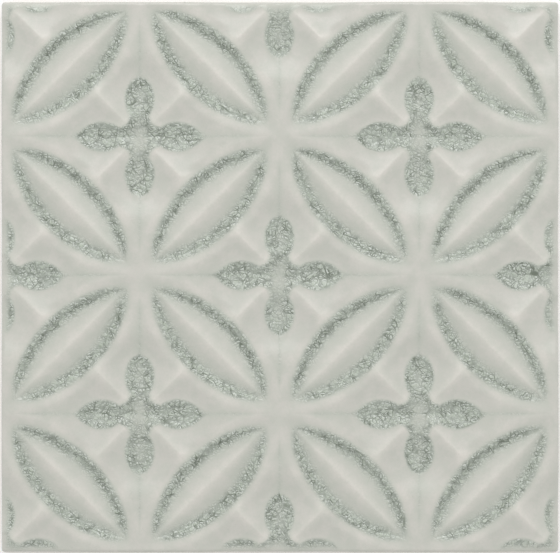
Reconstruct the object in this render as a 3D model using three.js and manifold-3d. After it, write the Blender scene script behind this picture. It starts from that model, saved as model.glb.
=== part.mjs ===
// A square relief wall tile of fired clay, pressed in one piece and glazed on its face.
// The face carries a common figure of overlapping circles: where two circles cross they make a
// petal, and the four-pointed star left inside each circle holds a sunken four-lobed foil.
// Millimetres, +Z up. The tile lies on its back, with its origin at the middle of the back.

import * as THREE from "three";
import Module from "manifold-3d";

// Blank
const tile_width = 148;
const tile_depth = 146.2;
const tile_thickness = 9.5;
const corner_radius = 0.9;
const arris_radius = 0.8;
const arris_clearance = 0.02;

// Circle figure: the pitch is the circles' radius, and the die sits a little off the tile's middle
const pitch_x = 37.1;
const pitch_y = 36.85;
const figure_shift_x = -0.15;
const figure_shift_y = 0.57;

// Petals: a shoulder and a steep wall inside the circle lead down to a groove, and a roof with a
// straight crest stands in the middle. The crest sinks, dips near its ends and comes back up.
const shoulder_width = 2.9;
const shoulder_angle = 13.5;
const groove_wall_angle = 42;
const groove_wall_round = 0.35;
const petal_roof_angle = 16;
const crest_round = 0.35;
const crest_sink = 0.36;
const crest_level_reach = 18;
const crest_dip_sink = 0.32;
const crest_dip_reach = 20.4;
const crest_dip_length = 2.4;

// Star: each lobe lies in an oval bowl, and neighbouring bowls meet in a ridge along the diagonal,
// which softens where it runs out on the petal's shoulder. The rim on the circle sags between
// the ridges and the points where four petals meet.
const bowl_sink = 1.37;
const bowl_centre_reach = 13;
const bowl_half_length = 10;
const bowl_half_width = 18;
const bowl_flat_share = 0.18;
const ridge_fall_angle = 18.5;
const ridge_round = 0.35;
const ridge_softening = 1;
const ridge_dive_angle = 5.6;
const rim_sag = 0.9;
const rim_fall_angle = 22;
const rim_round = 0.8;

// Foil: four pointed lobes cut to a keel, joined round the rounded ends of the star's ridges
const lobe_centre_reach = 10;
const lobe_half_length = 6.9;
const lobe_half_width = 4;
const ridge_end_reach = 4.95;
const foil_keel_angle = 13;

// Back: shallow pockets with sloping sides, which key the tile to its adhesive
const key_pocket_width = 7;
const key_land_width = 5;
const key_pocket_sink = 0.9;
const key_pocket_draft = 0.6;
const back_margin = 8;

// Facets: steps along a quarter petal, which crowd towards its middle for a crowding above 1, the
// places of two more steps between foil and circle, the shares of the groove's wall and of the
// roof taken up by the groove's floor, and steps of a rounded corner or arris
const steps_along = 10;
const step_crowding = 1.7;
const bowl_shares = [0.35, 0.7];
const wall_floor_share = 0.35;
const roof_floor_share = 0.1;
const corner_steps = 4;
const arris_steps = 3;
const least_corner_radius = 0.1;

// The higher these powers, the tighter one slope turns into the next
const groove_tightness = 3;
const star_tightness = 5;

const pitch = (pitch_x + pitch_y) / 2;
const half_diagonal = pitch * Math.SQRT1_2;
const slope = (degrees) => Math.tan(THREE.MathUtils.degToRad(degrees));
const mix = (a, b, share) => a + (b - a) * share;
const between = (p, q, share) => [mix(p[0], q[0], share), mix(p[1], q[1], share)];
const distance = (p, q) => Math.hypot(p[0] - q[0], p[1] - q[1]);

// Plan of one lobe: two arcs that meet in a point, and a smaller arc that touches the lobe's arc
// and turns round the end of the ridge, on the diagonal
const lobe_arc_radius =
  (lobe_half_length ** 2 + lobe_half_width ** 2) / (2 * lobe_half_width);
const lobe_arc_centre = [lobe_centre_reach, lobe_half_width - lobe_arc_radius];
const lobe_tip = [lobe_centre_reach + lobe_half_length, 0];
const ridge_end_radius = touchingRadius();
const ridge_end_centre = [0, 1].map(() => (ridge_end_reach + ridge_end_radius) * Math.SQRT1_2);
const touch_angle = Math.atan2(
  lobe_arc_centre[1] - ridge_end_centre[1],
  lobe_arc_centre[0] - ridge_end_centre[0],
);

// The radius of the arc that starts square to the diagonal and touches the lobe's arc
function touchingRadius() {
  const start = ridge_end_reach * Math.SQRT1_2;
  const [x, y] = [start - lobe_arc_centre[0], start - lobe_arc_centre[1]];
  return (x ** 2 + y ** 2 - lobe_arc_radius ** 2) / (2 * lobe_arc_radius - Math.SQRT2 * (x + y));
}

// The foil's outline from the lobe's tip (0) round to the end of the ridge, on the diagonal (1)
function foilOutline(share) {
  const tip_angle = Math.atan2(lobe_tip[1] - lobe_arc_centre[1], lobe_half_length);
  const lobe_turn = touch_angle + Math.PI - tip_angle;
  const end_turn = touch_angle + 0.75 * Math.PI;
  const lobe_length = lobe_turn * lobe_arc_radius;
  const end_length = end_turn * ridge_end_radius;
  const along = share * (lobe_length + end_length);
  if (along < lobe_length) {
    const angle = tip_angle + along / lobe_arc_radius;
    return [
      lobe_arc_centre[0] + lobe_arc_radius * Math.cos(angle),
      lobe_arc_centre[1] + lobe_arc_radius * Math.sin(angle),
    ];
  }
  const angle = touch_angle - (along - lobe_length) / ridge_end_radius;
  return [
    ridge_end_centre[0] + ridge_end_radius * Math.cos(angle),
    ridge_end_centre[1] + ridge_end_radius * Math.sin(angle),
  ];
}

// How far a point lies inside the foil's outline, and less than nothing outside it
function insideFoil([x, y]) {
  const turn = Math.atan2(y - ridge_end_centre[1], x - ridge_end_centre[0]);
  if (x < ridge_end_centre[0] && turn < touch_angle)
    return distance([x, y], ridge_end_centre) - ridge_end_radius;
  if (x > lobe_tip[0]) return -distance([x, y], lobe_tip);
  return lobe_arc_radius - distance([x, y], lobe_arc_centre);
}

const rounded = (run, radius) => Math.max(0, Math.hypot(run, radius) - radius);
const hump = (run, width) => Math.exp(-((run / width) ** 2));

// The least of several depths, with a rounded turn from one to the next
const leastDepth = (tightness, ...depths) =>
  depths.reduce((total, depth) => total + depth ** -tightness, 0) ** (-1 / tightness);

// The star's bowl, ridge and rim, which run on a little past the circle into the petal
function starDepth([x, y], from_ridge, past_circle) {
  const up_bowl = Math.hypot((x - bowl_centre_reach) / bowl_half_length, y / bowl_half_width);
  const bowl = bowl_sink * (1 - THREE.MathUtils.smoothstep(up_bowl, bowl_flat_share, 1));
  const ridge_radius = ridge_round + ridge_softening * Math.max(0, past_circle);
  const ridge = slope(ridge_fall_angle) * rounded(from_ridge, ridge_radius);
  const rim = rim_sag + slope(rim_fall_angle) * rounded(past_circle, rim_round);
  const dive = slope(ridge_dive_angle) * Math.max(0, -past_circle);
  return leastDepth(star_tightness, bowl, ridge, rim) + dive;
}

// The petal's roof, along and across its crest
function roofDepth(along_crest, from_crest) {
  const rise = THREE.MathUtils.smoothstep(along_crest, crest_level_reach, half_diagonal);
  const dip = crest_dip_sink * hump(along_crest - crest_dip_reach, crest_dip_length);
  const fall = slope(petal_roof_angle) * rounded(from_crest, crest_round);
  return crest_sink * (1 - rise) + dip + fall;
}

// The face's depth below its highest level, at a point of the eighth with x >= y >= 0 round a
// foil's centre
function reliefDepth([x, y]) {
  const past_circle = pitch - distance([x, y], [pitch, pitch]);
  const across = (x - y) * Math.SQRT1_2;
  if (past_circle > 0) {
    const shoulder = slope(shoulder_angle) * rounded(past_circle, rim_round);
    const past_shoulder = Math.max(0, past_circle - shoulder_width);
    const wall = slope(groove_wall_angle) * rounded(past_shoulder, groove_wall_round);
    const side = starDepth([x, y], across, past_circle) + shoulder + wall;
    const roof = roofDepth(across, (pitch - x - y) * Math.SQRT1_2);
    return leastDepth(groove_tightness, side, roof);
  }
  const lobe = slope(foil_keel_angle) * Math.max(0, insideFoil([x, y]));
  return starDepth([x, y], across, past_circle) + lobe;
}

// One row of points from the foil's axis, over the rim, to the petal's crest.
// Share 0 is the row through the lobe's tip and the petal's tip, and share 1 the diagonal.
function rowAcross(share) {
  const outline = foilOutline(share);
  const axis = [lobe_tip[0] * (1 - share), 0];
  const arc_angle = (Math.PI / 4) * (1 - (1 - share) ** step_crowding);
  const arc = [pitch * (1 - Math.sin(arc_angle)), pitch * (1 - Math.cos(arc_angle))];
  const bowl = bowl_shares.map((place) => between(outline, arc, place));
  // Inside the petal a row runs square to the crest
  const wall_top_radius = pitch - shoulder_width;
  const tip_run = Math.sqrt(wall_top_radius ** 2 - half_diagonal ** 2);
  const run = (tip_run * (arc[0] - arc[1])) / pitch;
  const wall_width = Math.sqrt(wall_top_radius ** 2 - run ** 2) - half_diagonal;
  const wall = slope(groove_wall_angle) * Math.cos(Math.asin(run / wall_top_radius));
  const groove_width = (wall_width * wall) / (wall + slope(petal_roof_angle));
  const inPetal = (width) => [
    pitch / 2 + (run - width) * Math.SQRT1_2,
    pitch / 2 - (run + width) * Math.SQRT1_2,
  ];
  const groove = [mix(groove_width, wall_width, wall_floor_share)];
  groove.push(groove_width * (1 - roof_floor_share));
  return [axis, outline, ...bowl, arc, ...[wall_width, ...groove, 0].map(inPetal)];
}

// Places that come out the same to a hundred-thousandth of a millimetre are one place
const placeKey = (p) => p.map((value) => Math.round(value * 1e5)).join(" ");

// The four-sided facets of one eighth round a foil's centre, as [x, y, depth] corners
function eighthFacets() {
  const rows = [];
  for (let i = 0; i <= steps_along; i++)
    rows.push(rowAcross(i / steps_along).map((p) => [...p, reliefDepth(p)]));
  const facets = [];
  for (let i = 0; i < steps_along; i++)
    for (let j = 0; j + 1 < rows[i].length; j++)
      facets.push([rows[i][j], rows[i][j + 1], rows[i + 1][j + 1], rows[i + 1][j]]);
  return facets;
}

// A closed surface as a solid, from its triangles' corners in order
function solidOf(wasm, corners) {
  const numbers = new Map();
  const places = [];
  const index = corners.map((p) => {
    const key = placeKey(p);
    if (!numbers.has(key)) {
      numbers.set(key, numbers.size);
      places.push(...p);
    }
    return numbers.get(key);
  });
  return new wasm.Manifold(
    new wasm.Mesh({
      numProp: 3,
      vertProperties: new Float32Array(places),
      triVerts: new Uint32Array(index),
    }),
  );
}

// The corners of a three.js geometry's triangles
function cornersOf(geometry) {
  const position = (geometry.index ? geometry.toNonIndexed() : geometry).getAttribute("position");
  const corners = [];
  for (let i = 0; i < position.count; i++)
    corners.push([position.getX(i), position.getY(i), position.getZ(i)]);
  return corners;
}

// The relief face on a plain slab that covers the tile's outline with whole circle quarters
function reliefSlab(wasm) {
  const columns = Math.ceil((tile_width / 2 + Math.abs(figure_shift_x)) / pitch_x);
  const rows = Math.ceil((tile_depth / 2 + Math.abs(figure_shift_y)) / pitch_y);
  const facets = eighthFacets();
  const corners = [];
  for (let column = -columns; column < columns; column++)
    for (let row = -rows; row < rows; row++) {
      // Two opposite corners of the cell are foil centres, and its petal joins the other two
      const even = (column + row) % 2 === 0;
      for (const [right, up] of even ? [[0, 0], [1, 1]] : [[1, 0], [0, 1]])
        for (const swapped of [false, true])
          addEighth(corners, facets, [column, row], [right, up], swapped);
    }
  closeBelow(corners);
  return solidOf(wasm, corners);
}

// Adds one eighth's facets round a foil's centre at a corner of a cell, mirrored to fit there
function addEighth(corners, facets, [column, row], [right, up], swapped) {
  const place = ([x, y, depth]) => {
    const [along, across] = swapped ? [y, x] : [x, y];
    return [
      figure_shift_x + (column + Math.abs(right - along / pitch)) * pitch_x,
      figure_shift_y + (row + Math.abs(up - across / pitch)) * pitch_y,
      tile_thickness - depth,
    ];
  };
  const mirrored = (right === up) === swapped;
  for (const facet of facets) {
    const [a, b, c, d] = facet.map(place);
    // A mirrored facet is turned over, which also splits it along its other diagonal
    const halves = mirrored ? [[b, a, d], [b, d, c]] : [[a, b, c], [a, c, d]];
    for (const half of halves)
      if (new Set(half.map(placeKey)).size === 3) corners.push(...half);
  }
}

// Adds a skirt from the open edge of a face down to the back, and the back itself
function closeBelow(corners) {
  const open = new Map();
  for (let i = 0; i < corners.length; i += 3)
    for (let j = 0; j < 3; j++) {
      const [p, q] = [corners[i + j], corners[i + ((j + 1) % 3)]];
      const [from, to] = [placeKey(p), placeKey(q)];
      const [there, back] = [from + "/" + to, to + "/" + from];
      if (open.has(back)) open.delete(back);
      else open.set(there, [p, q]);
    }
  const middle = [figure_shift_x, figure_shift_y, 0];
  for (const [p, q] of open.values()) {
    const [p_low, q_low] = [[p[0], p[1], 0], [q[0], q[1], 0]];
    corners.push(q, p, p_low, q, p_low, q_low, q_low, p_low, middle);
  }
}

function roundedRectangle(width, depth, radius) {
  const [x, y] = [width / 2 - radius, depth / 2 - radius];
  const shape = new THREE.Shape();
  shape.absarc(x, y, radius, 0, Math.PI / 2);
  shape.absarc(-x, y, radius, Math.PI / 2, Math.PI);
  shape.absarc(-x, -y, radius, Math.PI, 1.5 * Math.PI);
  shape.absarc(x, -y, radius, 1.5 * Math.PI, 2 * Math.PI);
  return shape;
}

// The tile's plan outline as a block with a rounded upper arris. It reaches below the back, and
// its flat top stays clear of the highest relief.
function outlineBlock(wasm) {
  const inner = roundedRectangle(
    tile_width - 2 * arris_radius,
    tile_depth - 2 * arris_radius,
    Math.max(corner_radius - arris_radius, least_corner_radius),
  );
  const block = new THREE.ExtrudeGeometry(inner, {
    depth: 2 * tile_thickness,
    curveSegments: corner_steps,
    bevelSize: arris_radius,
    bevelThickness: arris_radius,
    bevelSegments: arris_steps,
  });
  block.translate(0, 0, arris_clearance - tile_thickness - arris_radius);
  return solidOf(wasm, cornersOf(block));
}

// One key pocket, widest at the back and drawn in towards its floor
function keyPocket(wasm, width, length) {
  const floor = new THREE.Shape([
    new THREE.Vector2(-length / 2, -width / 2),
    new THREE.Vector2(length / 2, -width / 2),
    new THREE.Vector2(length / 2, width / 2),
    new THREE.Vector2(-length / 2, width / 2),
  ]);
  const pocket = new THREE.ExtrudeGeometry(floor, {
    depth: key_pocket_sink,
    bevelSize: key_pocket_draft,
    bevelThickness: key_pocket_sink,
    bevelSegments: 1,
  });
  pocket.translate(0, 0, -key_pocket_sink);
  const below = new THREE.BoxGeometry(2 * length, 2 * width, 2 * key_pocket_sink);
  below.translate(0, 0, 2 * key_pocket_sink);
  return solidOf(wasm, cornersOf(pocket)).subtract(solidOf(wasm, cornersOf(below)));
}

function tileSolid(wasm) {
  let solid = reliefSlab(wasm).intersect(outlineBlock(wasm));
  const step = key_pocket_width + key_land_width;
  const usable = tile_depth - 2 * back_margin - key_land_width;
  // An even count leaves a land across the middle of the back
  const pockets = 2 * Math.max(1, Math.floor((usable + key_land_width) / step / 2));
  const pocket = keyPocket(wasm, key_pocket_width - 2 * key_pocket_draft, tile_width - 2 * back_margin);
  for (let i = 0; i < pockets; i++) {
    const y = (i - (pockets - 1) / 2) * step;
    solid = solid.subtract(pocket.rotate([180, 0, 0]).translate([0, y, 0]));
  }
  return solid;
}

function meshOf(solid, name, material) {
  const { vertProperties, triVerts } = solid.getMesh();
  const geometry = new THREE.BufferGeometry();
  geometry.setAttribute("position", new THREE.BufferAttribute(new Float32Array(vertProperties), 3));
  geometry.setIndex(new THREE.BufferAttribute(new Uint32Array(triVerts), 1));
  geometry.computeVertexNormals();
  const mesh = new THREE.Mesh(geometry, material);
  mesh.name = name;
  return mesh;
}

const crackle_glaze = new THREE.MeshStandardMaterial({
  color: new THREE.Color().setRGB(0.76, 0.76, 0.72, THREE.SRGBColorSpace),
  roughness: 0.28,
  metalness: 0,
});

const wasm = await Module();
wasm.setup();

const tile = new THREE.Group();
tile.add(meshOf(tileSolid(wasm), "relief_tile", crackle_glaze));

export default tile;
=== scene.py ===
"""Dresses a relief wall tile: its pressed face, crackle glaze and bare clay, on a plain stage.

The face carries overlapping circles. Two neighbouring circles share a petal, and the star left
inside each circle holds a sunken foil of four lobes. Sizes are in metres.
"""

import math

import bmesh
import bpy
import numpy as np
from bpy.props import FloatProperty, FloatVectorProperty, IntProperty, PointerProperty
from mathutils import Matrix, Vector


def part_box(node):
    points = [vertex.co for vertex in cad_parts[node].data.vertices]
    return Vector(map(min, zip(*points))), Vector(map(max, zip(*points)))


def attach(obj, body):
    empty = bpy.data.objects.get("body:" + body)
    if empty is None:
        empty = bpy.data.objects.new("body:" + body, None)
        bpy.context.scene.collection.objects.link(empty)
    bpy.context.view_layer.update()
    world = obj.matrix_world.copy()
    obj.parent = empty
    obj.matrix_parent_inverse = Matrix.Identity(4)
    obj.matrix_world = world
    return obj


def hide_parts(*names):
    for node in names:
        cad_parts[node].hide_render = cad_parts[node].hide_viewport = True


bl_info = {
    "name": "Relief wall tile",
    "version": (1, 0, 0),
    "blender": (4, 5, 0),
    "location": "View3D > Sidebar > Relief Tile",
    "description": "Presses, glazes and stages a square relief wall tile",
    "category": "Add Mesh",
}

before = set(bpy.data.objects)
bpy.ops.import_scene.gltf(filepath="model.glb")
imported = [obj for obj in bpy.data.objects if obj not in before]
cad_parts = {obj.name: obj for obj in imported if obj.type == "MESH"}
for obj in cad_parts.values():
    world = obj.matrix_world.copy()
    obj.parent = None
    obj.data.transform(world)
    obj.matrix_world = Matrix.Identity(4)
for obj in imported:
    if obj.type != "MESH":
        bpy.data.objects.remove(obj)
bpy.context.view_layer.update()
BLANK_LOW, BLANK_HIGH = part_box("relief_tile")
BLANK_WIDTH = BLANK_HIGH.x - BLANK_LOW.x
BLANK_DEPTH = BLANK_HIGH.y - BLANK_LOW.y
BLANK_TOP = BLANK_HIGH.z

PHOTO_WIDTH = 560


def length(name, metres, description):
    return FloatProperty(
        name=name, description=description, default=metres, precision=5, unit="LENGTH"
    )


def angle(name, degrees, description):
    return FloatProperty(
        name=name,
        description=description,
        default=math.radians(degrees),
        subtype="ANGLE",
        unit="ROTATION",
    )


def colour(name, red_green_blue, description):
    return FloatVectorProperty(
        name=name,
        description=description,
        default=red_green_blue,
        size=3,
        min=0,
        max=1,
        subtype="COLOR",
    )


def amount(name, value, description):
    return FloatProperty(name=name, description=description, default=value)


def count(name, value, description):
    return IntProperty(name=name, description=description, default=value, min=1)


class FigureSizes(bpy.types.PropertyGroup):
    pitch_across: length("Pitch across", 0.0371, "Foil to star tip, left to right")
    pitch_up: length("Pitch up", 0.03685, "Foil to star tip, bottom to top")
    shift_across: length("Shift across", -0.00015, "Middle foil from the tile's middle")
    shift_up: length("Shift up", 0.00057, "Middle foil from the tile's middle")


class PetalSizes(bpy.types.PropertyGroup):
    shoulder_width: length("Shoulder width", 0.0033, "From the circle in to the wall's top")
    shoulder_angle: angle("Shoulder", 10.5, "Slope of the shoulder")
    wall_angle: angle("Groove wall", 50, "Slope of the groove's outer wall")
    wall_round: length("Wall rounding", 0.00035, "How softly the shoulder turns to the wall")
    roof_angle: angle("Petal roof", 16, "Slope from the crest down to the groove")
    crest_round: length("Crest rounding", 0.00025, "How softly the crest turns over")
    crest_sink: length("Crest sink", 0.00036, "Crest's middle below the highest level")
    level_reach: length("Level crest reach", 0.018, "Petal's middle to where it rises")
    dip_sink: length("Crest dip", 0.00032, "How far the crest dips near its ends")
    dip_reach: length("Crest dip reach", 0.0204, "Dip from the petal's middle")
    dip_length: length("Crest dip length", 0.0024, "How long the dip is")
    groove_tightness: amount("Groove tightness", 3.0, "Higher turns the groove tighter")


class StarSizes(bpy.types.PropertyGroup):
    bowl_sink: length("Bowl sink", 0.00137, "Depth of the bowl round each lobe")
    bowl_reach: length("Bowl reach", 0.013, "Foil's centre to a bowl's middle")
    bowl_half_length: length("Bowl half length", 0.010, "Along the lobe's axis")
    bowl_half_width: length("Bowl half width", 0.018, "Across the lobe's axis")
    bowl_flat: amount("Bowl flat", 0.18, "Level share of the bowl's middle")
    ridge_angle: angle("Fall from ridge", 16, "Slope of the face below a diagonal ridge")
    ridge_round: length("Ridge rounding", 0.0002, "How softly a ridge turns over")
    ridge_softening: amount("Ridge softening", 1.0, "Its growth past the circle, per run")
    ridge_dive: angle("Ridge dive", 3.5, "Slope of the ridge down to the foil")
    rim_sag: length("Rim sag", 0.0009, "How far the rim may sag between ridges")
    rim_angle: angle("Fall from rim", 22, "Slope of the face beside the rim")
    rim_round: length("Rim rounding", 0.0008, "How softly the rim turns over")
    tightness: amount("Tightness", 5.0, "Higher turns one slope into the next tighter")


class FoilSizes(bpy.types.PropertyGroup):
    lobe_reach: length("Lobe reach", 0.010, "Foil's centre to a lobe's widest place")
    lobe_half_length: length("Lobe half length", 0.0069, "Widest place to the tip")
    lobe_half_width: length("Lobe half width", 0.004, "Axis to the outline")
    ridge_end_reach: length("Ridge end reach", 0.00495, "Foil's centre to a ridge's end")
    keel_angle: angle("Keel", 6, "Slope from the outline down to the keel")
    floor_sink: length("Floor level", 0.0016, "Depth that its floor is drawn towards")
    floor_share: amount("Floor share", 0.6, "How far the floor is drawn to that level")
    floor_reach: length("Floor reach", 0.0035, "Outline to where it is drawn in full")
    lip_rise: length("Lip rise", 0.00015, "Height of the step inside the outline")
    lip_inset: length("Lip inset", 0.0006, "Top of that step from the outline")
    lip_width: length("Lip width", 0.001, "Half the width of that step")


class EdgeSizes(bpy.types.PropertyGroup):
    corner_radius: length("Corner radius", 0.0009, "Rounding of the four corners")
    arris_radius: length("Arris radius", 0.0009, "Rounding of the glazed upper edge")
    edge_wander: length("Edge wander", 0.00012, "How far the edges stray inwards")
    surface_wander: length("Surface wander", 0.00005, "How far the face strays")
    glaze_line: length("Glaze line", 0.0034, "Height at which the glaze stops")
    glaze_line_wander: length("Glaze line wander", 0.0011, "How much that height varies")
    glaze_thickness: length("Glaze thickness", 0.00018, "Step from glaze to bare clay")
    lip_drop: length("Lip drop", 0.000108, "Height of the glaze's thick lower lip")
    foot_bevel: length("Foot bevel", 0.0004, "Bevel round the back")
    edge_wave: length("Edge wave", 0.05, "Length of the edges' waves")
    surface_wave: length("Surface wave", 0.03, "Length of the face's waves")
    glaze_line_wave: length("Glaze line wave", 0.022, "Length of the glaze line's waves")


class BackSizes(bpy.types.PropertyGroup):
    pocket_width: length("Pocket width", 0.007, "Width of a keying pocket")
    land_width: length("Land width", 0.005, "Width between two pockets")
    pocket_sink: length("Pocket sink", 0.0009, "Depth of a pocket")
    pocket_draft: length("Pocket draft", 0.0006, "Run of a pocket's sloping side")
    margin: length("Back margin", 0.008, "Edge of the tile to the pockets")


class MeshSteps(bpy.types.PropertyGroup):
    along: count("Along", 24, "Steps along a quarter of a petal")
    lobe: count("Lobe", 11, "Steps from the keel to the foil's outline")
    star_face: count("Star face", 14, "Steps from the foil to the circle")
    shoulder: count("Shoulder", 6, "Steps from the circle to the groove's wall")
    groove_wall: count("Groove wall", 7, "Steps down the groove's wall")
    petal_roof: count("Petal roof", 11, "Steps up the petal's roof")
    crowding: amount("Crowding", 1.3, "Higher crowds the steps at the ridges and crests")


class GlazeFlow(bpy.types.PropertyGroup):
    pool_start: length("Pool start", 0.001, "From the circle in to where glaze starts to pool")
    pool_full: length("Pool full", 0.0036, "From the circle in to where it lies thickest")
    roof_fade: length("Roof fade", 0.0018, "Over which it thins up the petal's roof")
    lobe_start: length("Lobe start", 0.00065, "Outside the foil's outline, where it starts")
    lobe_full: length("Lobe full", 0.0009, "Inside the outline, where it lies thickest")
    lobe_floor: amount("Lobe floor", 0.75, "Thickness along the lobes' axes")
    # Painted light: the lobes that run up and down, along the light, get less pool colour along
    # their axes and at their tips than those that lie across it.
    upright_floor_painted_light: amount("Upright floor", 0.25, "The same along the upright lobes' axes")
    tip_blunt: length("Tip blunting", 0.0, "How far it stays back from a lobe's tip")
    upright_blunt_painted_light: length("Upright tip blunting", 0.0012, "The same at an upright lobe's tip")
    tip_reach: length("Tip reach", 0.0018, "Over which it stays back")
    # Painted shade: a dark line along the keels of the lobes that lie across the light, whose
    # upper halves fall into shade.
    keel_shade_share: amount("Keel line", 0.2, "Extra thickness along the keels that lie across")
    keel_shade_width: length("Keel line width", 0.0005, "Half the width of that line")
    node_start: length("Petal tip start", 0.001, "From a petal's tip to where it starts")
    node_full: length("Petal tip full", 0.0115, "From a petal's tip to where it is full")
    centre_share: amount("Centre", 0.62, "Share that is missing at the foil's centre")
    centre_across: length("Centre across", 0.0026, "Half the width of that paler centre")
    centre_up: length("Centre up", 0.006, "Half its height")
    centre_drop: length("Centre drop", 0.0012, "How far it lies below the foil's centre")
    crease_share: amount("Crease", 0.38, "Thickness in the fold along the star's axes")
    crease_width: length("Crease width", 0.0012, "Width of that fold")
    sag: length("Sag", 0.0002, "How far the lobes' pools sag towards the bottom edge")
    thin_reach: length("Thin reach", 0.004, "How far round a place counts as its surroundings")
    thin_rise: length("Thin rise", 0.0007, "Height above them at which glaze is thinnest")
    thin_sharpness: amount("Thin sharpness", 1.5, "Higher keeps it thin on the ridges alone")
    edge_start: length("Edge start", 0.0005, "Past the tile's edge, where pooling starts")
    edge_fade: length("Edge fade", 0.0034, "From the tile's edge to where it pools in full")
    unevenness: amount("Unevenness", 0.1, "How much the pools' thickness varies")
    uneven_wave: length("Uneven wave", 0.016, "Length of the waves in that thickness")


class GlazeLook(bpy.types.PropertyGroup):
    crest: colour("Crest", (0.711, 0.691, 0.646), "Thin glaze on crests and rims")
    face: colour("Face", (0.610, 0.606, 0.564), "Glaze on the open faces")
    pool: colour("Pool", (0.476, 0.528, 0.447), "Glaze pooled in grooves and lobes")
    cool_patch: colour("Cool patch", (0.938, 0.950, 0.922), "Tint of the greener patches")
    warm_patch: colour("Warm patch", (1.0, 0.988, 0.972), "Tint of the creamier patches")
    patch_size: length("Patch size", 0.0045, "Size of those patches")
    peel: amount("Peel", 0.13, "How much the fine uneven skin shows on the open faces")
    peel_size: length("Peel size", 0.0007, "Size of that skin's grain")
    cloud: amount("Cloud", 0.12, "How much clouds thicken and thin the pools")
    cloud_size: length("Cloud size", 0.006, "Size of those clouds")
    mist: amount("Mist", 0.15, "How much pale mist shows in the pools")
    mist_size: length("Mist size", 0.0005, "Size of that mist's grain")
    # Pale mist in the pools, and painted highlights: the crackle's lit edges and its glinting
    # specks.
    craze: colour("Craze line", (0.120, 0.145, 0.104), "Stained lines of the crackle")
    mist_and_painted_glint: colour("Sparkle", (0.80, 0.83, 0.80), "Bright edges and specks of the crackle")
    craze_cell: length("Craze cell", 0.0017, "Width of a crackle cell")
    craze_line: amount("Craze line width", 0.1, "Line width as a share of a cell")
    # Painted highlight: a pale edge painted beside each craze line, on the side towards the
    # light.
    craze_lit: length("Lit edge", 0.00022, "From a craze line to its lit edge")
    craze_least: amount("Least crackle", 0.55, "Strength of the crackle where it is calm")
    craze_gain: amount("Crackle gain", 0.35, "Its growth to where it is strongest")
    calm_size: length("Calm size", 0.0028, "Size of the calm and the strong places")
    # Strength of the painted highlights on the crackle's lit edges.
    lit: amount("Lit edges", 0.8, "Strength of the lit edges beside that of the lines")
    # Painted glints: bright specks in the pools.
    painted_glint: amount("Specks", 0.5, "Strength of the bright specks")
    roughness: amount("Roughness", 0.38, "Roughness of the glaze")
    roughness_swing: amount("Roughness swing", 0.05, "How far it varies either way")
    coat: amount("Coat", 0.25, "Weight of the clear gloss on top")
    coat_roughness: amount("Coat roughness", 0.18, "Roughness of that gloss")
    bump: length("Craze relief", 0.00004, "Height of the crackle's lines")
    swell: amount("Swell", 1.2, "Height of the glaze's soft swells beside that of the lines")
    swell_size: length("Swell size", 0.004, "Size of those swells")


class ClayLook(bpy.types.PropertyGroup):
    body: colour("Clay", (0.62, 0.53, 0.42), "Fired clay of the sides and back")
    dust: colour("Clay dust", (0.72, 0.66, 0.56), "Paler patches on the clay")
    patch_size: length("Patch size", 0.018, "Size of those patches")
    roughness: amount("Roughness", 0.92, "Roughness of the bare clay")
    grain: length("Grain", 0.0005, "Size of the clay's grain")
    grain_shade: amount("Grain shade", 0.7, "Brightness of the grain's dark side")
    bump: length("Grain relief", 0.0001, "Height of the clay's grain")
    bump_share: amount("Relief share", 0.6, "How much of that height shows")


class StageLook(bpy.types.PropertyGroup):
    floor: colour("Floor", (0.9, 0.9, 0.9), "Plain pale floor")
    floor_glow: amount("Floor glow", 0.15, "Light of its own, so that it stays white")
    floor_size: length("Floor size", 3.0, "Side of the floor")
    floor_gap: length("Floor gap", 0.0002, "From the floor up to the tile's back")
    key_power: amount("Key light", 7.5, "Watts of the large light past the top edge")
    key_size: length("Key size", 0.9, "Side of that light")
    key_distance: length("Key distance", 1.4, "From the tile")
    key_height: angle("Key height", 48, "Above the horizon")
    sky_strength: amount("Sky", 0.71, "Strength of the even light from all round")
    lens: amount("Lens", 300.0, "Camera's focal length in millimetres")
    photo_scale: amount("Photo scale", 3771.6, "Pixels of the photo to a metre of tile")
    photo_drop: amount("Photo drop", 0.65, "Pixels from the photo's middle to the tile's")


SETTINGS_GROUPS = {
    "figure": FigureSizes,
    "petal": PetalSizes,
    "star": StarSizes,
    "foil": FoilSizes,
    "edge": EdgeSizes,
    "back": BackSizes,
    "steps": MeshSteps,
    "flow": GlazeFlow,
    "glaze": GlazeLook,
    "clay": ClayLook,
    "stage": StageLook,
}


class ReliefTileSettings(bpy.types.PropertyGroup):
    __annotations__ = {
        name: PointerProperty(type=group) for name, group in SETTINGS_GROUPS.items()
    }


# Shapes of the relief

ROOT_HALF = math.sqrt(0.5)
ALMOST_NOTHING = 1e-9
SAME_PLACE = 1e-7
WELDS_PER_METRE = 1e8


def mean_pitch(figure):
    return (figure.pitch_across + figure.pitch_up) / 2


def rounded(run, radius):
    return np.hypot(run, radius) - radius


def smooth_step(value, low, high):
    share = np.clip((value - low) / (high - low), 0, 1)
    return share * share * (3 - 2 * share)


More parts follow.
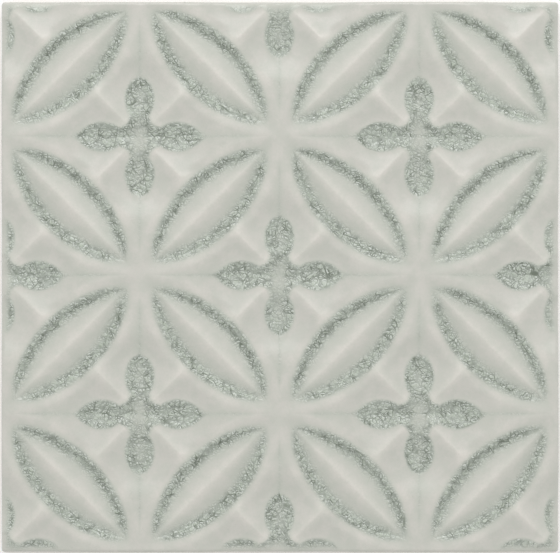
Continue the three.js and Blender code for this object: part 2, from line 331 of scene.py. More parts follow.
class FoilPlan:
    """Plan of a foil in one eighth: a lobe's arc, and the arc round a ridge's end."""

    def __init__(self, foil):
        half_length = foil.lobe_half_length
        half_width = foil.lobe_half_width
        self.lobe_radius = (half_length**2 + half_width**2) / (2 * half_width)
        self.lobe_centre = (foil.lobe_reach, half_width - self.lobe_radius)
        self.tip = foil.lobe_reach + half_length
        start = foil.ridge_end_reach * ROOT_HALF
        x = start - self.lobe_centre[0]
        y = start - self.lobe_centre[1]
        beyond = x**2 + y**2 - self.lobe_radius**2
        self.end_radius = beyond / (2 * self.lobe_radius - (x + y) / ROOT_HALF)
        self.end_centre = (foil.ridge_end_reach + self.end_radius) * ROOT_HALF
        self.touch_angle = math.atan2(
            self.lobe_centre[1] - self.end_centre, self.lobe_centre[0] - self.end_centre
        )
        self.tip_angle = math.atan2(-self.lobe_centre[1], half_length)

    def outline(self, share):
        """A point of the outline, from the lobe's tip (0) to the ridge's end (1)."""
        lobe_length = (self.touch_angle + math.pi - self.tip_angle) * self.lobe_radius
        end_length = (self.touch_angle + 0.75 * math.pi) * self.end_radius
        along = share * (lobe_length + end_length)
        if along < lobe_length:
            turn = self.tip_angle + along / self.lobe_radius
            x = self.lobe_centre[0] + self.lobe_radius * math.cos(turn)
            y = self.lobe_centre[1] + self.lobe_radius * math.sin(turn)
            return np.array((x, y))
        turn = self.touch_angle - (along - lobe_length) / self.end_radius
        x = self.end_centre + self.end_radius * math.cos(turn)
        y = self.end_centre + self.end_radius * math.sin(turn)
        return np.array((x, y))

    def inside(self, x, y):
        """How far each place lies inside the outline, and less than nothing outside it."""
        from_lobe = np.hypot(x - self.lobe_centre[0], y - self.lobe_centre[1])
        by_lobe = self.lobe_radius - from_lobe
        by_tip = -np.hypot(x - self.tip, y)
        by_end = np.hypot(x - self.end_centre, y - self.end_centre) - self.end_radius
        turn = np.arctan2(y - self.end_centre, x - self.end_centre)
        near_end = (x < self.end_centre) & (turn < self.touch_angle)
        return np.where(near_end, by_end, np.where(x > self.tip, by_tip, by_lobe))


def fold_into_eighth(x, y, figure):
    """Mirrors places on the tile into the eighth round a foil's centre where x >= y >= 0."""
    across = (x - figure.shift_across) / figure.pitch_across
    up = (y - figure.shift_up) / figure.pitch_up
    odd = (np.floor(across) + np.floor(up)) % 2 == 1
    across = across % 1
    up = up % 1
    across = np.where(odd, 1 - across, across)
    beyond = across + up > 1
    across = np.where(beyond, 1 - across, across)
    up = np.where(beyond, 1 - up, up)
    pitch = mean_pitch(figure)
    return np.maximum(across, up) * pitch, np.minimum(across, up) * pitch


def from_foil_centre(x, y, figure):
    """How far right of and above the nearest foil's centre each place lies."""
    across = (x - figure.shift_across) / figure.pitch_across
    up = (y - figure.shift_up) / figure.pitch_up
    rising = np.round((across + up) / 2)
    falling = np.round((across - up) / 2)
    right = (across - rising - falling) * figure.pitch_across
    above = (up - rising + falling) * figure.pitch_up
    return right, above


def least_depth(tightness, *depths):
    """The least of several depths, with a rounded turn from one to the next."""
    depths = [np.maximum(depth, ALMOST_NOTHING) for depth in depths]
    least = np.minimum.reduce(depths)
    return least * sum((least / depth) ** tightness for depth in depths) ** (-1 / tightness)


def star_depth(x, y, past_circle, star):
    """The star's bowl, ridge and rim, which run on a little past the circle into the petal."""
    along = (x - star.bowl_reach) / star.bowl_half_length
    up_bowl = np.hypot(along, y / star.bowl_half_width)
    bowl = star.bowl_sink * (1 - smooth_step(up_bowl, star.bowl_flat, 1))
    ridge_radius = star.ridge_round + star.ridge_softening * np.maximum(past_circle, 0)
    ridge = math.tan(star.ridge_angle) * rounded((x - y) * ROOT_HALF, ridge_radius)
    rim = star.rim_sag + math.tan(star.rim_angle) * rounded(past_circle, star.rim_round)
    dive = math.tan(star.ridge_dive) * np.maximum(-past_circle, 0)
    return least_depth(star.tightness, bowl, ridge, rim) + dive


def roof_depth(from_crest, along_crest, half_crest, petal):
    rise = smooth_step(along_crest, petal.level_reach, half_crest)
    dip = np.exp(-(((along_crest - petal.dip_reach) / petal.dip_length) ** 2))
    fall = math.tan(petal.roof_angle) * rounded(from_crest, petal.crest_round)
    return petal.crest_sink * (1 - rise) + petal.dip_sink * dip + fall


def run_past_circle(x, y, pitch):
    return pitch - np.hypot(x - pitch, y - pitch)


def groove_sides(x, y, settings):
    """Depths of a groove's outer side and of the petal's roof, each as if it ran on."""
    pitch = mean_pitch(settings.figure)
    petal, star = settings.petal, settings.star
    past_circle = run_past_circle(x, y, pitch)
    past_shoulder = np.maximum(past_circle - petal.shoulder_width, 0)
    side = star_depth(x, y, past_circle, star)
    side = side + math.tan(petal.shoulder_angle) * rounded(past_circle, star.rim_round)
    side = side + math.tan(petal.wall_angle) * rounded(past_shoulder, petal.wall_round)
    from_crest = (pitch - x - y) * ROOT_HALF
    roof = roof_depth(from_crest, (x - y) * ROOT_HALF, pitch * ROOT_HALF, petal)
    return side, roof


def relief_depth(x, y, settings):
    """Depth of the pressed face below its highest level, at places on the tile."""
    foil = settings.foil
    x, y = fold_into_eighth(x, y, settings.figure)
    past_circle = run_past_circle(x, y, mean_pitch(settings.figure))
    groove = least_depth(settings.petal.groove_tightness, *groove_sides(x, y, settings))
    inside = FoilPlan(foil).inside(x, y)
    lobe = math.tan(foil.keel_angle) * np.maximum(inside, 0)
    lip = foil.lip_rise * np.exp(-(((inside - foil.lip_inset) / foil.lip_width) ** 2))
    star = star_depth(x, y, past_circle, settings.star)
    level = foil.floor_share * smooth_step(inside, 0, foil.floor_reach)
    star = star + (foil.floor_sink - star) * level + lobe - lip
    return np.where(past_circle > 0, groove, star)


def glaze_pool(x, y, settings):
    """How thick the glaze lies: 0 on the open faces, and 1 where it pools deepest, with painted
    light on the upright lobes and a painted shade line along the keels that lie across.
    """
    petal, flow = settings.petal, settings.flow
    right, above = from_foil_centre(x, y, settings.figure)
    # How far each place lies up or down from the foil's centre rather than across; it sets the
    # painted light on the upright lobes and the painted shade on the lying keels.
    upright = above**2 / np.maximum(right**2 + above**2, ALMOST_NOTHING**2)
    lobe_x, lobe_y = fold_into_eighth(x, y + flow.sag, settings.figure)
    x, y = fold_into_eighth(x, y, settings.figure)
    past_circle = run_past_circle(x, y, mean_pitch(settings.figure))
    side, roof = groove_sides(x, y, settings)
    meeting_slopes = math.tan(petal.wall_angle) + math.tan(petal.roof_angle)
    up_roof = np.maximum(side - roof, 0) / meeting_slopes
    groove = smooth_step(past_circle, flow.pool_start, flow.pool_full)
    from_node = np.hypot(x - mean_pitch(settings.figure), y)
    groove = groove * np.exp(-up_roof / flow.roof_fade)
    groove = groove * smooth_step(from_node, flow.node_start, flow.node_full)
    plan = FoilPlan(settings.foil)
    from_tip = np.hypot(lobe_x - plan.tip, lobe_y)
    blunt = flow.tip_blunt + (flow.upright_blunt_painted_light - flow.tip_blunt) * upright
    inside = plan.inside(lobe_x, lobe_y) - blunt * np.exp(-((from_tip / flow.tip_reach) ** 2))
    lobe = smooth_step(inside, -flow.lobe_start, flow.lobe_full)
    middle = smooth_step(inside, flow.lobe_full, 2 * settings.foil.lobe_half_width)
    lobe_floor = flow.lobe_floor + (flow.upright_floor_painted_light - flow.lobe_floor) * upright
    lobe = lobe * (1 - (1 - lobe_floor) * 2 * middle)
    # Painted shade along the keels of the lobes that lie across the light.
    keel = flow.keel_shade_share * (1 - upright) * np.exp(-((y / flow.keel_shade_width) ** 2))
    lobe = lobe * (1 + keel)
    above_centre = above + flow.centre_drop
    from_middle = (right / flow.centre_across) ** 2 + (above_centre / flow.centre_up) ** 2
    lobe = lobe * (1 - flow.centre_share * np.exp(-from_middle))
    crease = flow.crease_share * np.exp(-y / flow.crease_width)
    crease = crease * smooth_step(-past_circle, 0, flow.crease_width)
    return 1 - (1 - groove) * (1 - lobe) * (1 - crease)


# Plan of the face's mesh

def stations(start, end, steps, power=1.0):
    """Points from start towards end, without the end, closer at the start for power > 1."""
    shares = (np.arange(steps) / steps) ** power
    return [start + (end - start) * share for share in shares]


def crowded(share, crowding):
    """A share from 0 to 1 moved so that even steps crowd towards 1."""
    return 1 - (1 - share) ** crowding


def row_across(share, settings):
    """Points in one eighth from the foil's axis, over the rim, to the petal's crest."""
    steps = settings.steps
    share = crowded(share, steps.crowding)
    pitch = mean_pitch(settings.figure)
    plan = FoilPlan(settings.foil)
    outline = plan.outline(share)
    axis = np.array((plan.tip * (1 - share), 0.0))
    arc_turn = math.pi / 4 * crowded(share, steps.crowding)
    arc = np.array((1 - math.sin(arc_turn), 1 - math.cos(arc_turn))) * pitch
    # Inside the petal a row runs square to the crest
    wall_radius = pitch - settings.petal.shoulder_width
    half_diagonal = pitch * ROOT_HALF
    tip_run = math.sqrt(wall_radius**2 - half_diagonal**2)
    run = tip_run * (arc[0] - arc[1]) / pitch
    wall_width = math.sqrt(wall_radius**2 - run**2) - half_diagonal
    wall = math.tan(settings.petal.wall_angle) * math.cos(math.asin(run / wall_radius))
    groove_width = wall_width * wall / (wall + math.tan(settings.petal.roof_angle))

    def in_petal(width):
        along, aside = (run - width) * ROOT_HALF, (run + width) * ROOT_HALF
        return np.array((pitch / 2 + along, pitch / 2 - aside))

    wall_top = in_petal(wall_width)
    groove = in_petal(groove_width)
    crest = in_petal(0)
    row = stations(axis, outline, steps.lobe)
    row += stations(outline, arc, steps.star_face)
    row += stations(arc, wall_top, steps.shoulder)
    row += stations(wall_top, groove, steps.groove_wall)
    row.append(groove)
    row += stations(crest, groove, steps.petal_roof, steps.crowding)[::-1]
    return row


def eighth_grid(settings):
    along = settings.steps.along
    return np.array([row_across(i / along, settings) for i in range(along + 1)])


def placed_grids(settings):
    """The eighth's grid at each of its mirrored places that the blank needs."""
    figure = settings.figure
    grid = eighth_grid(settings) / mean_pitch(figure)
    columns = math.ceil((BLANK_WIDTH / 2 + abs(figure.shift_across)) / figure.pitch_across)
    rows = math.ceil((BLANK_DEPTH / 2 + abs(figure.shift_up)) / figure.pitch_up)
    for column in range(-columns, columns):
        for row in range(-rows, rows):
            even = (column + row) % 2 == 0
            for right, up in ((0, 0), (1, 1)) if even else ((1, 0), (0, 1)):
                for swapped in (False, True):
                    across, aside = (1, 0) if swapped else (0, 1)
                    x = column + abs(right - grid[..., across])
                    y = row + abs(up - grid[..., aside])
                    turned = (right == up) == swapped
                    yield x * figure.pitch_across, y * figure.pitch_up, turned


def plan_mesh(settings):
    """The whole figure as a flat mesh, with the mirrored grids welded together."""
    points = []
    quads = []
    start = 0
    for x, y, turned in placed_grids(settings):
        x = x + settings.figure.shift_across
        y = y + settings.figure.shift_up
        numbers = start + np.arange(x.size).reshape(x.shape)
        start += x.size
        corners = [numbers[:-1, :-1], numbers[:-1, 1:], numbers[1:, 1:], numbers[1:, :-1]]
        if turned:
            corners.reverse()
        quads.append(np.stack(corners, axis=-1).reshape(-1, 4))
        points.append(np.stack((x.ravel(), y.ravel()), axis=-1))
    points = np.concatenate(points)
    quads = np.concatenate(quads)
    places = np.round(points * WELDS_PER_METRE).astype(np.int64)
    _, first, welded = np.unique(places, axis=0, return_index=True, return_inverse=True)
    quads = welded.reshape(-1)[quads]
    flat = np.pad(points[first], ((0, 0), (0, 1)))
    mesh = bmesh.new()
    vertices = [mesh.verts.new(point) for point in flat]
    for quad in quads:
        corners = list(dict.fromkeys(quad.tolist()))
        if len(corners) > 2:
            mesh.faces.new([vertices[i] for i in corners])
    return mesh


# Blank: trimming, sides and back

def cut(mesh, place, outward, keep_outside, faces=None):
    """Cuts along a plane, takes away what lies past it unless it is kept, and gives the rest."""
    geometry = [*mesh.verts, *mesh.edges, *mesh.faces]
    if faces is not None:
        touched = (part for face in faces for part in (*face.verts, *face.edges, face))
        geometry = list(dict.fromkeys(touched))
    left = bmesh.ops.bisect_plane(
        mesh,
        geom=geometry,
        dist=SAME_PLACE,
        plane_co=place,
        plane_no=outward,
        clear_outer=not keep_outside,
    )
    return [part for part in left["geom"] if isinstance(part, bmesh.types.BMFace)]


def trim_to_blank(mesh, settings):
    """Trims the plan at the blank's edges, with more cuts where the arris turns over."""
    radius = settings.edge.arris_radius
    turns = np.radians((0, 35, 60, 80, 100))
    insets = [radius * (1 - math.cos(turn)) for turn in turns]
    sides = (
        (Vector((1, 0, 0)), BLANK_WIDTH / 2),
        (Vector((-1, 0, 0)), BLANK_WIDTH / 2),
        (Vector((0, 1, 0)), BLANK_DEPTH / 2),
        (Vector((0, -1, 0)), BLANK_DEPTH / 2),
    )
    for inset in insets:
        for outward, reach in sides:
            cut(mesh, outward * (reach - inset), outward, keep_outside=inset > 0)


def round_corners(x, y, radius):
    """Moves the places in each square corner onto a rounded one."""
    corner_x = BLANK_WIDTH / 2 - radius
    corner_y = BLANK_DEPTH / 2 - radius
    u = (np.abs(x) - corner_x) / radius
    v = (np.abs(y) - corner_y) / radius
    inside = (u > 0) & (v > 0)
    u = np.where(inside, u, 1.0)
    v = np.where(inside, v, 0.0)
    pull = np.maximum(u, v) / np.hypot(u, v)
    x = np.where(inside, np.sign(x) * (corner_x + u * pull * radius), x)
    y = np.where(inside, np.sign(y) * (corner_y + v * pull * radius), y)
    return x, y


def from_edge(x, y, radius):
    """How far each place lies inside the blank's rounded outline."""
    u = np.abs(x) - (BLANK_WIDTH / 2 - radius)
    v = np.abs(y) - (BLANK_DEPTH / 2 - radius)
    beyond = np.hypot(np.maximum(u, 0), np.maximum(v, 0))
    return radius - beyond - np.minimum(np.maximum(u, v), 0)


def gentle_waves(x, y, wave_length, seed):
    """A smooth wander between -1 and 1, from a few waves that cross each other."""
    random = np.random.default_rng(seed)
    total = np.zeros_like(x)
    waves = 7
    shortest, longest = 0.7, 1.6
    for _ in range(waves):
        heading = random.uniform(0, math.tau)
        wave = wave_length * random.uniform(shortest, longest)
        phase = random.uniform(0, math.tau)
        along = x * math.cos(heading) + y * math.sin(heading)
        total += np.sin(math.tau * along / wave + phase)
    return total / waves


def shape_face(mesh, settings):
    """Presses the relief into the trimmed plan."""
    edge = settings.edge
    x, y = np.array([vertex.co[:2] for vertex in mesh.verts]).T
    x, y = round_corners(x, y, edge.corner_radius)
    inset = np.maximum(from_edge(x, y, edge.corner_radius), 0)
    turned = np.clip(edge.arris_radius - inset, 0, edge.arris_radius)
    drop = edge.arris_radius - np.sqrt(edge.arris_radius**2 - turned**2)
    depth = relief_depth(x, y, settings)
    wander = edge.surface_wander * (1 + gentle_waves(x, y, edge.surface_wave, seed=3))
    x_wander = edge.edge_wander * (1 + gentle_waves(x, y, edge.edge_wave, seed=5))
    x = x * (1 - x_wander / BLANK_WIDTH)
    y_wander = edge.edge_wander * (1 + gentle_waves(x, y, edge.edge_wave, seed=8))
    y = y * (1 - y_wander / BLANK_DEPTH)
    z = BLANK_TOP - depth - drop - wander
    for vertex, place in zip(mesh.verts, np.stack((x, y, z), axis=-1)):
        vertex.co = place


def add_ring(mesh, edges, move):
    """Grows the mesh by a ring of faces from its open edges, and gives the new edges."""
    grown = bmesh.ops.extrude_edge_only(mesh, edges=edges)["geom"]
    for part in grown:
        if isinstance(part, bmesh.types.BMVert):
            part.co = move(part.co)
    return [part for part in grown if isinstance(part, bmesh.types.BMEdge) and part.is_boundary]


def drawn_in(place, inset, corner_radius):
    """A place on the side moved in by the inset, which keeps the corners round."""
    corner_x = BLANK_WIDTH / 2 - corner_radius
    corner_y = BLANK_DEPTH / 2 - corner_radius
    u = max(abs(place.x) - corner_x, 0)
    v = max(abs(place.y) - corner_y, 0)
    share = min(1, (corner_radius - inset) / math.hypot(u, v))
    x = math.copysign(min(abs(place.x), corner_x) + u * share, place.x)
    y = math.copysign(min(abs(place.y), corner_y) + v * share, place.y)
    return x, y


def add_sides(mesh, settings):
    """Grows the sides down from the face: glaze, its thick lower lip, and bare clay."""
    edge = settings.edge

    def glaze_end(place):
        x, y = np.array([place.x]), np.array([place.y])
        wave = gentle_waves(x, y, edge.glaze_line_wave, seed=11)[0]
        return edge.glaze_line + edge.glaze_line_wander * wave

    def down_to(share):
        def move(place):
            return Vector((place.x, place.y, place.z + (glaze_end(place) - place.z) * share))

        return move

    clay_inset = 2 * edge.edge_wander + edge.glaze_thickness
    foot_inset = clay_inset + edge.foot_bevel

    def under_lip(place):
        x, y = drawn_in(place, clay_inset, edge.corner_radius)
        return Vector((x, y, place.z - edge.lip_drop))

    def above_foot(place):
        x, y = drawn_in(place, clay_inset, edge.corner_radius)
        return Vector((x, y, BLANK_LOW.z + edge.foot_bevel))

    def foot(place):
        x, y = drawn_in(place, foot_inset, edge.corner_radius)
        return Vector((x, y, BLANK_LOW.z))

    edges = [edge for edge in mesh.edges if edge.is_boundary]
    shares_down = (0.12, 0.35, 0.65, 1.0)
    for share in shares_down:
        edges = add_ring(mesh, edges, down_to(share))
    glazed = set(mesh.faces)
    for move in (under_lip, above_foot, foot):
        edges = add_ring(mesh, edges, move)
    back = bmesh.ops.contextual_create(mesh, geom=edges)["faces"]
    for face in mesh.faces:
        face.material_index = 0 if face in glazed else 1
    return back


def add_key_pockets(mesh, back_faces, settings):
    """Sinks the keying pockets into the back, as an even number either side of a land."""
    back = settings.back
    pitch = back.pocket_width + back.land_width
    usable = BLANK_DEPTH - 2 * back.margin
    pockets = 2 * max(1, int(usable / pitch / 2))
    half_length = BLANK_WIDTH / 2 - back.margin + back.pocket_draft
    middles = [(i - (pockets - 1) / 2) * pitch for i in range(pockets)]
    half_width = back.pocket_width / 2
    for x in (-half_length, half_length):
        back_faces = cut(mesh, Vector((x, 0, 0)), Vector((1, 0, 0)), True, back_faces)
    for middle in middles:
        for y in (middle - half_width, middle + half_width):
            back_faces = cut(mesh, Vector((0, y, 0)), Vector((0, 1, 0)), True, back_faces)
    for face in back_faces:
        centre = face.calc_center_bounds()
        in_row = any(abs(centre.y - middle) < half_width / 2 for middle in middles)
        if in_row and abs(centre.x) < half_length / 2:
            bmesh.ops.inset_region(
                mesh, faces=[face], thickness=back.pocket_draft, depth=-back.pocket_sink
            )


def mark_glaze(tile_mesh, settings):
    """Stores at each vertex how far the glaze pools, and how thin it is drawn."""
    flow, figure = settings.flow, settings.figure
    places = np.empty(len(tile_mesh.vertices) * 3)
    tile_mesh.vertices.foreach_get("co", places)
    x, y, z = places.reshape(-1, 3).T
    headings = np.radians(np.arange(0, 360, 30))
    around = np.zeros_like(x)
    for heading in headings:
        aside_x = flow.thin_reach * math.cos(heading)
        aside_y = flow.thin_reach * math.sin(heading)
        around += relief_depth(x + aside_x, y + aside_y, settings) / len(headings)
    above = around - relief_depth(x, y, settings)
    past_circle = run_past_circle(*fold_into_eighth(x, y, figure), mean_pitch(figure))
    in_petal = smooth_step(past_circle, 0, flow.pool_full)
    sharpness = flow.thin_sharpness + (1 - flow.thin_sharpness) * in_petal
    thin = np.clip(above / flow.thin_rise, 0, 1) ** sharpness
    inset = from_edge(x, y, settings.edge.corner_radius)
    near_edge = smooth_step(inset, -flow.edge_start, flow.edge_fade)
    uneven = 1 + flow.unevenness * gentle_waves(x, y, flow.uneven_wave, seed=21)
    pool = np.clip(glaze_pool(x, y, settings) * uneven, 0, 1) * near_edge
    for name, values in (("glaze_pool", pool), ("glaze_thin", thin)):
        attribute = tile_mesh.attributes.new(name, "FLOAT", "POINT")
        attribute.data.foreach_set("value", values.astype(np.float32))


# Materials

class NodeGraph:
    """Adds and joins the nodes of one material."""

    def __init__(self, name):
        self.material = bpy.data.materials.new(name)
        self.material.use_nodes = True
        self.tree = self.material.node_tree
        self.tree.nodes.clear()

    def node(self, kind, feeds=None, **settings):
        """Adds a node with its settings, and feeds its sockets by name or by number."""
        made = self.tree.nodes.new(kind)
        for name, value in settings.items():
            setattr(made, name, value)
        for name, value in (feeds or {}).items():
            self.feed(made.inputs[name], value)
        return made

    def feed(self, socket, value):
        if isinstance(value, bpy.types.NodeSocket):
            self.tree.links.new(value, socket)
        elif socket.type == "RGBA":
            socket.default_value = (*value, 1)
        else:
            socket.default_value = value

    def math(self, operation, first, second=0.0, third=0.0):
        feeds = {0: first, 1: second, 2: third}
        return self.node("ShaderNodeMath", feeds, operation=operation).outputs[0]

    def vector(self, operation, first, second):
        feeds = {0: first, 1: second}
        return self.node("ShaderNodeVectorMath", feeds, operation=operation).outputs[0]

    def remap(self, value, low, high, to_low=0.0, to_high=1.0):
        feeds = {"Value": value, "From Min": low, "From Max": high}
        feeds |= {"To Min": to_low, "To Max": to_high}
        made = self.node("ShaderNodeMapRange", feeds, interpolation_type="SMOOTHSTEP")
        return made.outputs["Result"]

    def spread(self, noise, half, to_low=0.0, to_high=1.0):
        """Widens the middle of a noise, half to either side, to a full swing."""
        return self.remap(noise, 0.5 - half, 0.5 + half, to_low, to_high)

    def mix(self, share, first, second, blend="MIX"):
        feeds = {"Factor": share, "A": first, "B": second}
        made = self.node("ShaderNodeMix", feeds, data_type="RGBA", blend_type=blend)
        return made.outputs["Result"]

    def noise(self, place, size, detail=2.0, roughness=0.5, output="Fac"):
        feeds = {"Vector": place, "Scale": 1 / size, "Detail": detail, "Roughness": roughness}
        return self.node("ShaderNodeTexNoise", feeds).outputs[output]

    def cells(self, place, size, feature):
        feeds = {"Vector": place, "Scale": 1 / size}
        return self.node("ShaderNodeTexVoronoi", feeds, feature=feature)

    def wandering(self, place, size, reach):
        """Places moved about by noise, so that lines through them wander."""
        shift = self.noise(place, size, output="Color")
        centred = self.vector("SUBTRACT", shift, (0.5, 0.5, 0.5))
        return self.vector("ADD", place, self.vector("MULTIPLY", centred, (reach,) * 3))

    def bumped(self, height, reach, share=1.0):
        """The normal of a surface that stands out by the height times the reach."""
        feeds = {"Height": height, "Distance": reach, "Strength": share}
        return self.node("ShaderNodeBump", feeds).outputs["Normal"]

    def finish(self, **sockets):
        feeds = {name.replace("_", " "): value for name, value in sockets.items()}
        shader = self.node("ShaderNodeBsdfPrincipled", feeds)
        self.node("ShaderNodeOutputMaterial", {"Surface": shader.outputs["BSDF"]})
        return self.material


# Cell widths of the crackle's further nets, as shares of the coarse one's
FINE_NET = 0.52
DRAWN_OUT_NET = 1.1
LONG_NET = 2.6


def craze_lines(graph, place, cell, look):
    """The stained lines of a crackle, and a painted highlight on the edge below each line, where
    it faces the light.
    """
    width = look.craze_line * look.craze_cell / cell
    core = 0.25 * width
    # Painted highlight: the lines found again a little towards the light, painted pale just below
    # each stained line.
    towards_light = (0.4 * look.craze_lit, look.craze_lit, 0)
    distance = graph.cells(place, cell, "DISTANCE_TO_EDGE").outputs["Distance"]
    dark = graph.remap(distance, width, core)
    above = graph.vector("ADD", place, towards_light)
    distance = graph.cells(above, cell, "DISTANCE_TO_EDGE").outputs["Distance"]
    lit = graph.remap(distance, width, core)
    # A noise breaks the lines off here and there
    broken = graph.noise(place, cell * 0.8, detail=1)
    absent, whole = 0.32, 0.55
    present = graph.remap(broken, absent, whole)
    return graph.math("MULTIPLY", dark, present), graph.math("MULTIPLY", lit, present)


def crackle(graph, place, look):
    """Nets of craze lines over each other: coarse, fine, drawn out sideways, and long."""
    cell = look.craze_cell
    bend_size, bend_reach = 1.6 * cell, 1.3 * cell
    crazed = graph.wandering(place, bend_size, bend_reach)
    drawn_out = graph.vector("MULTIPLY", crazed, (0.3, 1.0, 1.0))
    lines, edges = craze_lines(graph, crazed, cell, look)
    fainter = 0.8
    for dark, lit in (
        craze_lines(graph, crazed, cell * FINE_NET, look),
        craze_lines(graph, drawn_out, cell * DRAWN_OUT_NET, look),
    ):
        lines = graph.math("MAXIMUM", lines, graph.math("MULTIPLY", dark, fainter))
        edges = graph.math("MAXIMUM", edges, graph.math("MULTIPLY", lit, fainter))
    long_lines, _ = craze_lines(graph, place, cell * LONG_NET, look)
    return graph.math("MAXIMUM", lines, long_lines), edges


def open_glaze(graph, place, thin, look):
    """Colour of the glaze on the open faces: its patches, its fine skin and its thin places."""
    shade = graph.mix(thin, look.face, look.crest)
    patches = graph.noise(place, look.patch_size, detail=4, roughness=0.6)
    warm_share = graph.spread(patches, 0.1)
    tint = graph.mix(warm_share, look.cool_patch, look.warm_patch)
    shade = graph.mix(1.0, shade, tint, blend="MULTIPLY")
    peel = graph.noise(place, look.peel_size, detail=2, roughness=0.6)
    peeled = graph.spread(peel, 0.12, look.peel, 0.0)
    return graph.mix(peeled, shade, look.pool)


def misty(graph, place, look):
    """How much pale mist hangs in the glaze at each place."""
    mist = graph.noise(place, look.mist_size, detail=2, roughness=0.7)
    clear, full = 0.5, 0.75
    return graph.remap(mist, clear, full)


def specks(graph, place, look):
    """A few small round painted glints, bright specks each in a cell of its own."""
    grain = graph.cells(place, look.craze_cell * 0.45, "F1")
    rim, core = 0.34, 0.16
    painted_glint = graph.remap(grain.outputs["Distance"], rim, core)
    picked = graph.node("ShaderNodeSeparateColor", {0: grain.outputs["Color"]})
    bare_share = 0.78
    chosen = graph.math("GREATER_THAN", picked.outputs[0], bare_share)
    return graph.math("MULTIPLY", painted_glint, chosen)


def crackle_glaze(look):
    """Pale glaze, greener and crazed where it pools."""
    graph = NodeGraph("crackle_glaze")
    place = graph.node("ShaderNodeTexCoord").outputs["Object"]
    pool = graph.node("ShaderNodeAttribute", attribute_name="glaze_pool").outputs["Fac"]
    thin = graph.node("ShaderNodeAttribute", attribute_name="glaze_thin").outputs["Fac"]
    cloud = graph.noise(place, look.cloud_size, detail=3)
    cloudy = graph.math("SUBTRACT", cloud, 0.5)
    uneven_pool = graph.math("MULTIPLY_ADD", cloudy, look.cloud, pool)
    pool_edge, pool_middle = 0.12, 0.95
    in_pool = graph.remap(uneven_pool, pool_edge, pool_middle)
    shade = open_glaze(graph, place, thin, look)
    shade = graph.mix(uneven_pool, shade, look.pool)
    lines, edges = crackle(graph, place, look)
    calm = graph.noise(place, look.calm_size, detail=2)
    strength = graph.math(
        "MULTIPLY_ADD", graph.spread(calm, 0.1), look.craze_gain, look.craze_least
    )
    strength = graph.math("MULTIPLY", strength, in_pool)
    mist = graph.math("MULTIPLY", misty(graph, place, look), in_pool)
    painted_glint = graph.math("MULTIPLY", specks(graph, place, look), in_pool)
    # Over the colour: pale mist, painted highlights on the crackle's lit edges, the stained
    # lines, and painted glints.
    for share, cover in (
        (graph.math("MULTIPLY", mist, look.mist), look.mist_and_painted_glint),
        (graph.math("MULTIPLY", graph.math("MULTIPLY", edges, look.lit), strength), look.mist_and_painted_glint),
        (graph.math("MULTIPLY", lines, strength), look.craze),
        (graph.math("MULTIPLY", painted_glint, look.painted_glint), look.mist_and_painted_glint),
    ):
        shade = graph.mix(share, shade, cover)
    swell = graph.noise(place, look.swell_size, detail=2)
    open_share = 0.15
    line_share = graph.math("MULTIPLY_ADD", in_pool, 1 - open_share, open_share)
    line_height = graph.math("MULTIPLY", lines, line_share)
    height = graph.math("SUBTRACT", graph.math("MULTIPLY", swell, look.swell), line_height)
    roughest = look.roughness + look.roughness_swing
    smoothest = look.roughness - look.roughness_swing
    return graph.finish(
        Base_Color=shade,
        Roughness=graph.spread(cloud, 0.2, smoothest, roughest),
        Normal=graph.bumped(height, look.bump),
        Coat_Weight=look.coat,
        Coat_Roughness=look.coat_roughness,
    )


def fired_clay(look):
    """Bare pressed clay, with grain and paler patches."""
    graph = NodeGraph("fired_clay")
    place = graph.node("ShaderNodeTexCoord").outputs["Object"]
    patches = graph.noise(place, look.patch_size, detail=4)
    bare, dusty = 0.35, 0.7
    dust = graph.remap(patches, bare, dusty)
    shade = graph.mix(dust, look.body, look.dust)
    grain = graph.noise(place, look.grain, detail=3, roughness=0.7)
    grain_low, grain_high, grain_share = 0.55, 0.75, 0.35
    dark_grain = graph.remap(grain, grain_low, grain_high, 0.0, grain_share)
    shade = graph.mix(dark_grain, shade, [look.grain_shade * part for part in look.body])
    return graph.finish(
        Base_Color=shade,
        Roughness=look.roughness,
        Normal=graph.bumped(grain, look.bump, look.bump_share),
    )


def plain_floor(look):
    graph = NodeGraph("plain_floor")
    return graph.finish(
        Base_Color=look.floor, Roughness=0.9, Emission_Strength=look.floor_glow
    )


# Operators

class RELIEFTILE_OT_press_tile(bpy.types.Operator):
    """Press the relief face, add the sides and the back, and glaze the tile"""

    bl_idname = "relief_tile.press_tile"
    bl_label = "Press and glaze the tile"

    def execute(self, context):
        settings = context.scene.relief_tile
        mesh = plan_mesh(settings)
        trim_to_blank(mesh, settings)
        shape_face(mesh, settings)
        back_faces = add_sides(mesh, settings)
        bmesh.ops.recalc_face_normals(mesh, faces=mesh.faces)
        add_key_pockets(mesh, back_faces, settings)
        for face in mesh.faces:
            face.smooth = True
        tile_mesh = bpy.data.meshes.new("glazed_tile")
        mesh.to_mesh(tile_mesh)
        mesh.free()
        sharp_turn = math.radians(50)
        tile_mesh.set_sharp_from_angle(angle=sharp_turn)
        mark_glaze(tile_mesh, settings)
        tile_mesh.materials.append(crackle_glaze(settings.glaze))
        tile_mesh.materials.append(fired_clay(settings.clay))
        tile = bpy.data.objects.new("glazed_tile", tile_mesh)
        context.scene.collection.objects.link(tile)
        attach(tile, "root")
        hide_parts("relief_tile")
        return {"FINISHED"}


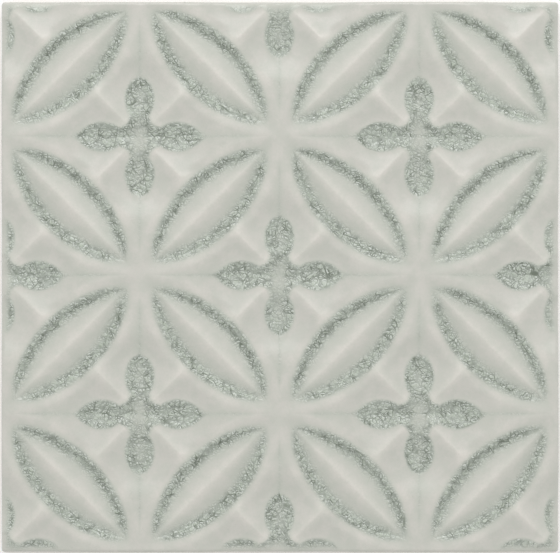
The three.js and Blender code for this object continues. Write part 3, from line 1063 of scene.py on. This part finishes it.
class RELIEFTILE_OT_set_stage(bpy.types.Operator):
    """Lay the pale floor, hang the lights and set the camera over the tile"""

    bl_idname = "relief_tile.set_stage"
    bl_label = "Set the stage"

    def execute(self, context):
        look = context.scene.relief_tile.stage
        context.scene.view_settings.view_transform = "Standard"
        self.lay_floor(context, look)
        self.hang_lights(context, look)
        self.set_camera(context, look)
        return {"FINISHED"}

    def lay_floor(self, context, look):
        mesh = bmesh.new()
        bmesh.ops.create_grid(mesh, x_segments=1, y_segments=1, size=look.floor_size / 2)
        floor_mesh = bpy.data.meshes.new("floor")
        mesh.to_mesh(floor_mesh)
        mesh.free()
        floor_mesh.materials.append(plain_floor(look))
        floor = bpy.data.objects.new("floor", floor_mesh)
        floor.location.z = BLANK_LOW.z - look.floor_gap
        context.scene.collection.objects.link(floor)

    def hang_lights(self, context, look):
        lamp = bpy.data.lights.new("key_light", "AREA")
        lamp.shape = "SQUARE"
        lamp.size = look.key_size
        lamp.energy = look.key_power
        key = bpy.data.objects.new("key_light", lamp)
        key.location = look.key_distance * Vector(
            (0, math.cos(look.key_height), math.sin(look.key_height))
        )
        key.rotation_euler = key.location.to_track_quat("Z", "Y").to_euler()
        context.scene.collection.objects.link(key)
        world = bpy.data.worlds.new("even_sky")
        world.use_nodes = True
        background = world.node_tree.nodes["Background"]
        background.inputs["Color"].default_value = (1, 1, 1, 1)
        background.inputs["Strength"].default_value = look.sky_strength
        context.scene.world = world

    def set_camera(self, context, look):
        lens = bpy.data.cameras.new("photo_camera")
        lens.sensor_fit = "HORIZONTAL"
        lens.lens = look.lens
        lens.clip_end = 10
        seen_width = PHOTO_WIDTH / look.photo_scale
        camera = bpy.data.objects.new("photo_camera", lens)
        camera.location.x = 0
        camera.location.y = look.photo_drop / look.photo_scale
        camera.location.z = BLANK_TOP + seen_width * look.lens / lens.sensor_width
        context.scene.collection.objects.link(camera)
        context.scene.camera = camera


class RELIEFTILE_PT_panel(bpy.types.Panel):
    """Sizes, looks and steps of the relief tile"""

    bl_label = "Relief Tile"
    bl_idname = "RELIEFTILE_PT_panel"
    bl_space_type = "VIEW_3D"
    bl_region_type = "UI"
    bl_category = "Relief Tile"

    def draw(self, context):
        for operator in OPERATORS:
            self.layout.operator(operator.bl_idname)
        for group_name in SETTINGS_GROUPS:
            box = self.layout.box()
            box.label(text=group_name.capitalize())
            group = getattr(context.scene.relief_tile, group_name)
            for property_name in group.__annotations__:
                box.prop(group, property_name)


OPERATORS = (RELIEFTILE_OT_press_tile, RELIEFTILE_OT_set_stage)
CLASSES = (
    *SETTINGS_GROUPS.values(),
    ReliefTileSettings,
    *OPERATORS,
    RELIEFTILE_PT_panel,
)


def register():
    for made_class in CLASSES:
        bpy.utils.register_class(made_class)
    bpy.types.Scene.relief_tile = PointerProperty(type=ReliefTileSettings)


def unregister():
    del bpy.types.Scene.relief_tile
    for made_class in reversed(CLASSES):
        bpy.utils.unregister_class(made_class)


def main():
    register()
    bpy.ops.relief_tile.press_tile()
    bpy.ops.relief_tile.set_stage()


if __name__ == "__main__":
    main()
